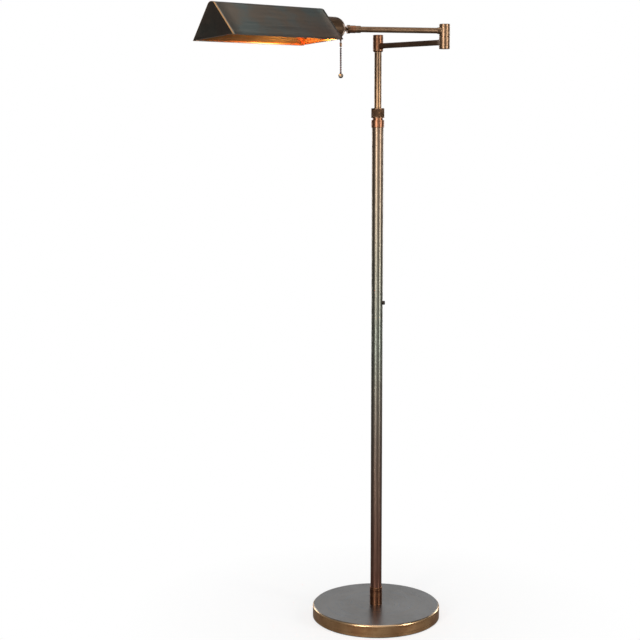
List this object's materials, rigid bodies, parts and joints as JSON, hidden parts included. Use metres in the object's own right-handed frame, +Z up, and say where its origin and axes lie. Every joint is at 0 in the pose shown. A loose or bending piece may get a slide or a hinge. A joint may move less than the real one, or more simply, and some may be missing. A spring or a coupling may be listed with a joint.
{
  "type": "pharmacy floor lamp",
  "caption": "Antique bronze floor lamp with round weighted base, height-adjustable pole, two-part swing arm, ball swivel and trough shade with pull chain.",
  "frame": {"origin": "centre of the round base's underside, on the floor and on the pole's axis", "axes": "+Z up along the pole; the shade's long axis lies along X with its free end towards -X; the cord inlet leaves at 45 degrees between +X and +Y"},
  "size_m": [0.6083, 0.3139, 1.1649],
  "materials": {
    "pad_felt": "black felt",
    "plated_steel": "zinc plated",
    "ballast_iron": "raw casting",
    "base_bronze": "brushed antique bronze lacquer",
    "grommet_rubber": "moulded",
    "pole_bronze": "brushed antique bronze lacquer",
    "ferrule_copper": "aged copper",
    "screw_black": "black oxide",
    "cord_sleeve": "twin flex sleeve",
    "collar_copper": "bright aged copper",
    "nylon": "natural nylon",
    "knurl_bronze": "dark knurled bronze",
    "stem_bronze": "brushed antique bronze lacquer",
    "pivot_bronze": "brushed antique bronze",
    "arm_bronze": "brushed antique bronze lacquer",
    "swivel_copper": "bright aged copper",
    "swivel_dark": "dark bronze",
    "cup_bronze": "dark brushed bronze",
    "holder_brown": "moulded phenolic",
    "contact_brass": "stamped",
    "bulb_cap_nickel": "nickel",
    "bulb_opal": "opal glass, lit",
    "shade_bronze": "brushed antique bronze, copper inside",
    "chain_bronze": "aged bead chain"
  },
  "bodies": {
    "pole": {"base_pad": "pad_felt", "base_plate": "plated_steel", "base_cover": "base_bronze", "base_weight": "ballast_iron", "base_nipple": "plated_steel", "base_washer": "plated_steel", "base_nut": "plated_steel", "cord_grommet": "grommet_rubber", "pole_ferrule": "ferrule_copper", "pole_foot_plug": "plated_steel", "pole_lower": "pole_bronze", "pole_coupling": "plated_steel", "pole_upper": "pole_bronze", "pole_screw": "screw_black", "pole_cord": "cord_sleeve", "collar_body": "collar_copper", "collet": "nylon"},
    "lock_collar": {"lock_collar": "knurl_bronze"},
    "stem": {"stem": "stem_bronze", "stem_guide": "nylon", "pivot_spindle": "pivot_bronze", "pivot_thrust_washer": "nylon", "pivot_nut": "plated_steel"},
    "lower_arm": {"pivot_barrel": "pivot_bronze", "pivot_cap": "pivot_bronze", "lower_arm_tube": "arm_bronze", "elbow_lower_knuckle": "pivot_bronze", "elbow_spindle": "plated_steel", "elbow_bottom_cap": "pivot_bronze", "elbow_thrust_washer": "nylon", "elbow_nut": "plated_steel"},
    "upper_arm": {"elbow_upper_knuckle": "pivot_bronze", "elbow_top_cap": "pivot_bronze", "upper_arm_tube": "arm_bronze", "arm_ferrule": "swivel_copper", "swivel_housing": "swivel_copper", "swivel_retainer": "swivel_dark"},
    "swivel_seat": {"swivel_seat": "nylon"},
    "swivel_ball": {"swivel_ball": "swivel_copper", "stud_nut": "plated_steel"},
    "head": {"cup_boss": "swivel_copper", "socket_cup": "cup_bronze", "cup_screw": "screw_black", "switch_body": "holder_brown", "lampholder_body": "holder_brown", "lampholder_shell": "contact_brass", "lampholder_contact": "contact_brass", "shade_ring": "holder_brown", "chain_guide": "cup_bronze", "bulb_cap": "bulb_cap_nickel", "bulb_glass": "bulb_opal", "shade_canopy": "shade_bronze", "shade_inner_end": "shade_bronze", "shade_free_end": "shade_bronze"},
    "pull_rod": {"pull_rod": "chain_bronze"},
    "coupler": {"chain_coupler": "chain_bronze"},
    "chain": {"pull_chain": "chain_bronze", "pull_ball": "chain_bronze"}
  },
  "joints": [
    {"name": "lock_turn", "type": "hinge", "parent": "pole", "child": "lock_collar", "pos_m": [0, 0, 0.988], "axis": [0, 0, 1], "range_deg": [0, 150]},
    {"name": "height_slide", "type": "slide", "parent": "pole", "child": "stem", "axis": [0, 0, 1], "range_m": [-0.1, 0.12]},
    {"name": "shoulder_swing", "type": "hinge", "parent": "stem", "child": "lower_arm", "pos_m": [0, 0, 1.1125], "axis": [0, 0, 1], "range_deg": [-170, 170]},
    {"name": "elbow_swing", "type": "hinge", "parent": "lower_arm", "child": "upper_arm", "pos_m": [-0.01569, -0.17932, 1.1225], "axis": [0, 0, 1], "range_deg": [-48, 263]},
    {"name": "swivel_turn", "type": "hinge", "parent": "upper_arm", "child": "swivel_seat", "pos_m": [-0.17678, -0.099, 1.1325], "axis": [-0.8949, 0.4462, 0], "range_deg": [-90, 90]},
    {"name": "swivel_tilt", "type": "hinge", "parent": "swivel_seat", "child": "swivel_ball", "pos_m": [-0.17678, -0.099, 1.1325], "axis": [0, 0, 1], "range_deg": [-58, 5]},
    {"name": "shade_roll", "type": "hinge", "parent": "swivel_ball", "child": "head", "pos_m": [-0.17678, -0.099, 1.1325], "axis": [1, 0, 0], "range_deg": [-90, 90]},
    {"name": "switch_pull", "type": "slide", "parent": "head", "child": "pull_rod", "axis": [0, -0.0698, -0.9976], "range_m": [0, 0.006], "stiffness_N_per_m": 400, "springref_m": -0.002},
    {"name": "chain_swing", "type": "hinge", "parent": "pull_rod", "child": "coupler", "pos_m": [-0.19678, -0.10055, 1.11035], "axis": [1, 0, 0], "range_deg": [-40, 40]},
    {"name": "chain_fold", "type": "hinge", "parent": "coupler", "child": "chain", "pos_m": [-0.19678, -0.10055, 1.10055], "axis": [0, 1, 0], "range_deg": [-40, 40]}
  ]
}
